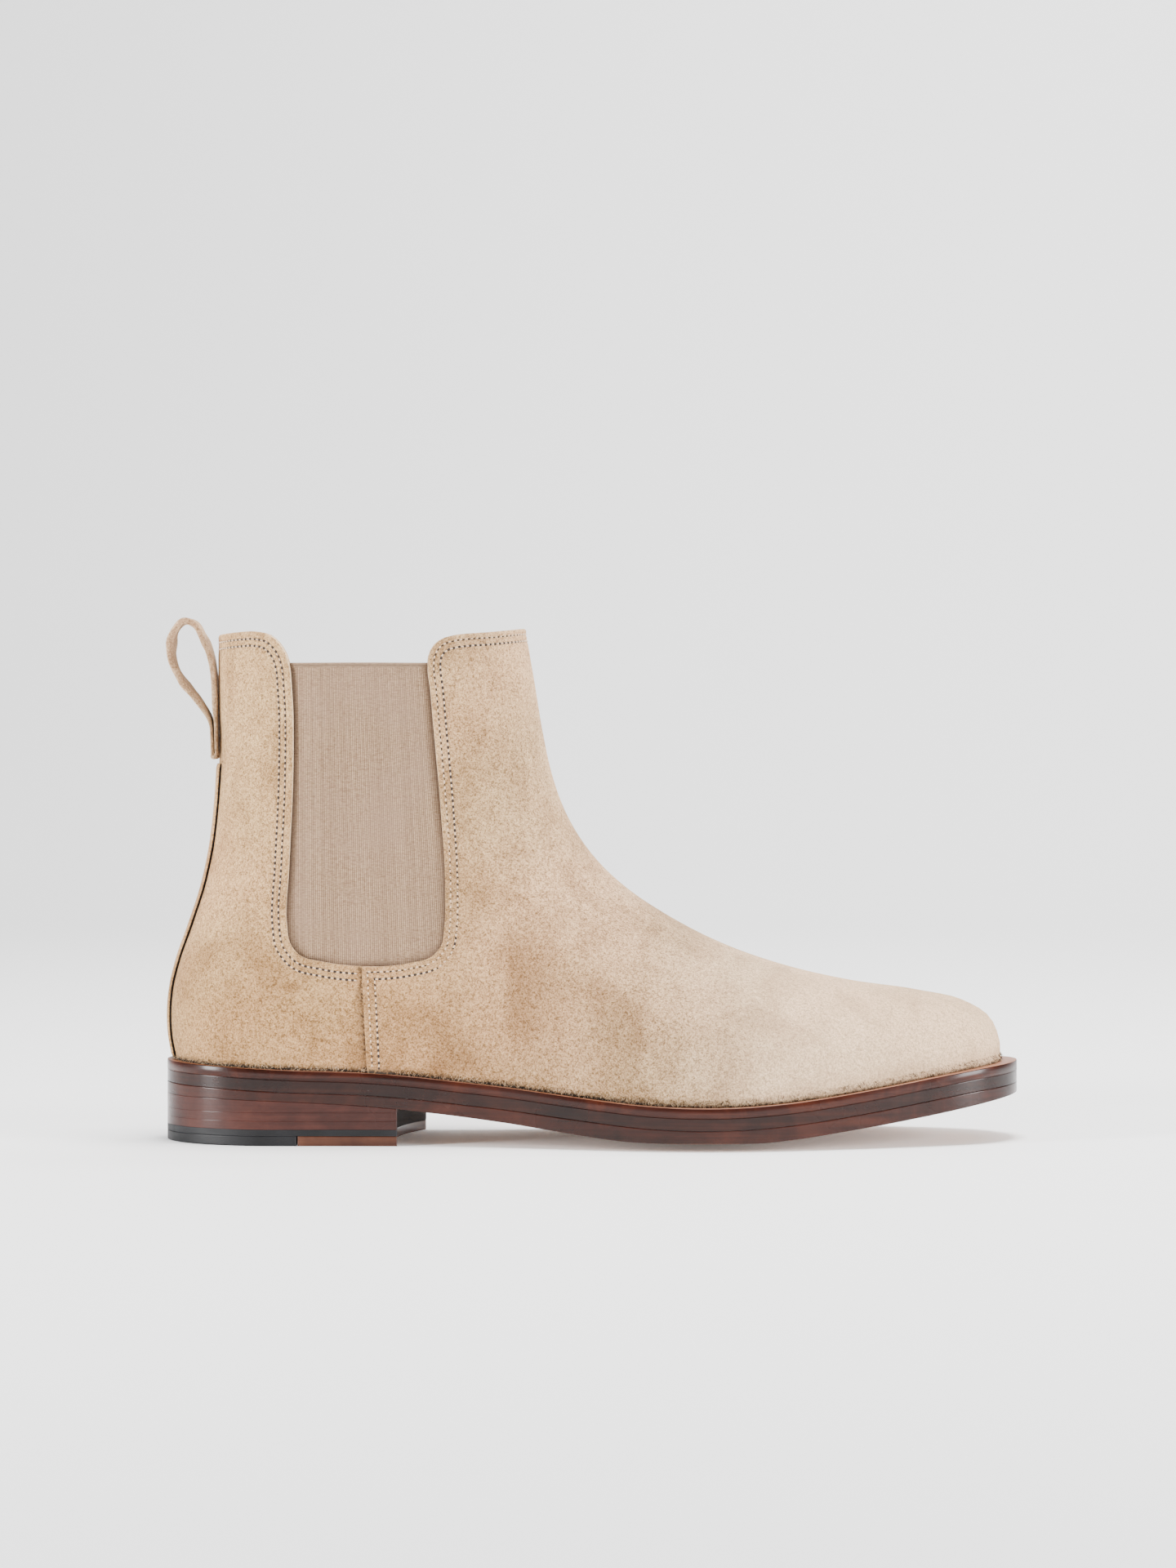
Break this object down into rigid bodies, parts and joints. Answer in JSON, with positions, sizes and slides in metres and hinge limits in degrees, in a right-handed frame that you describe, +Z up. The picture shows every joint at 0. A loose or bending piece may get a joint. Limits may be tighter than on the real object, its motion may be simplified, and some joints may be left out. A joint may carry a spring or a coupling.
{
  "type": "chelsea boot",
  "caption": "Ankle-high slip-on boot with elastic side gussets, a rear pull loop and a stacked leather sole with a low heel",
  "frame": {"origin": "on the ground, under the middle of the boot's bounding box", "axes": "+X points to the toe, +Y to the inner side of the right foot, +Z up"},
  "size_m": [0.3054, 0.0998, 0.1863],
  "materials": {
    "suede": "napped suede, beige",
    "elastic": "ribbed woven elastic, taupe",
    "lining": "smooth calf lining, tan",
    "stiffener": "skived leather board",
    "insole_board": "vegetable tanned shoulder",
    "cork": "granulated cork",
    "steel": "tempered spring steel strip",
    "welt_leather": "burnished edge, red brown",
    "sole_leather": "burnished edge, dark red brown",
    "heel_leather": "waxed edge, pinkish brown",
    "insert_leather": "burnished edge, orange brown",
    "rubber": "black, satin",
    "brass": "plain"
  },
  "bodies": {
    "boot": {"vamp": "suede", "quarter_lateral": "suede", "quarter_medial": "suede", "gusset_lateral": "elastic", "gusset_medial": "elastic", "backstay": "suede", "vamp_lining": "lining", "quarter_lining": "lining", "heel_counter": "stiffener", "toe_puff": "stiffener", "sock_liner": "lining", "insole": "insole_board", "cork_filler": "cork", "shank": "steel", "welt": "welt_leather", "midsole": "sole_leather", "outsole": "sole_leather", "heel_lift_upper": "heel_leather", "heel_lift_middle": "heel_leather", "heel_lift_lower": "heel_leather", "top_piece": "rubber", "top_piece_insert": "insert_leather", "heel_nails": "brass"},
    "front_shaft": {"vamp_shaft": "suede", "vamp_lining_shaft": "lining"},
    "pull_loop": {"pull_loop": "suede"}
  },
  "joints": [
    {"name": "shaft_flex", "type": "hinge", "parent": "boot", "child": "front_shaft", "pos_m": [-0.0075, 0.0032, 0.113], "axis": [0, 1, 0], "range_deg": [0, 15], "stiffness_Nm_per_rad": 2, "deforming": ["gusset_lateral", "gusset_medial"]},
    {"name": "loop_swing", "type": "hinge", "parent": "boot", "child": "pull_loop", "pos_m": [-0.13555, 0.0032, 0.1368], "axis": [0, -1, 0], "range_deg": [0, 75], "stiffness_Nm_per_rad": 0.02}
  ]
}
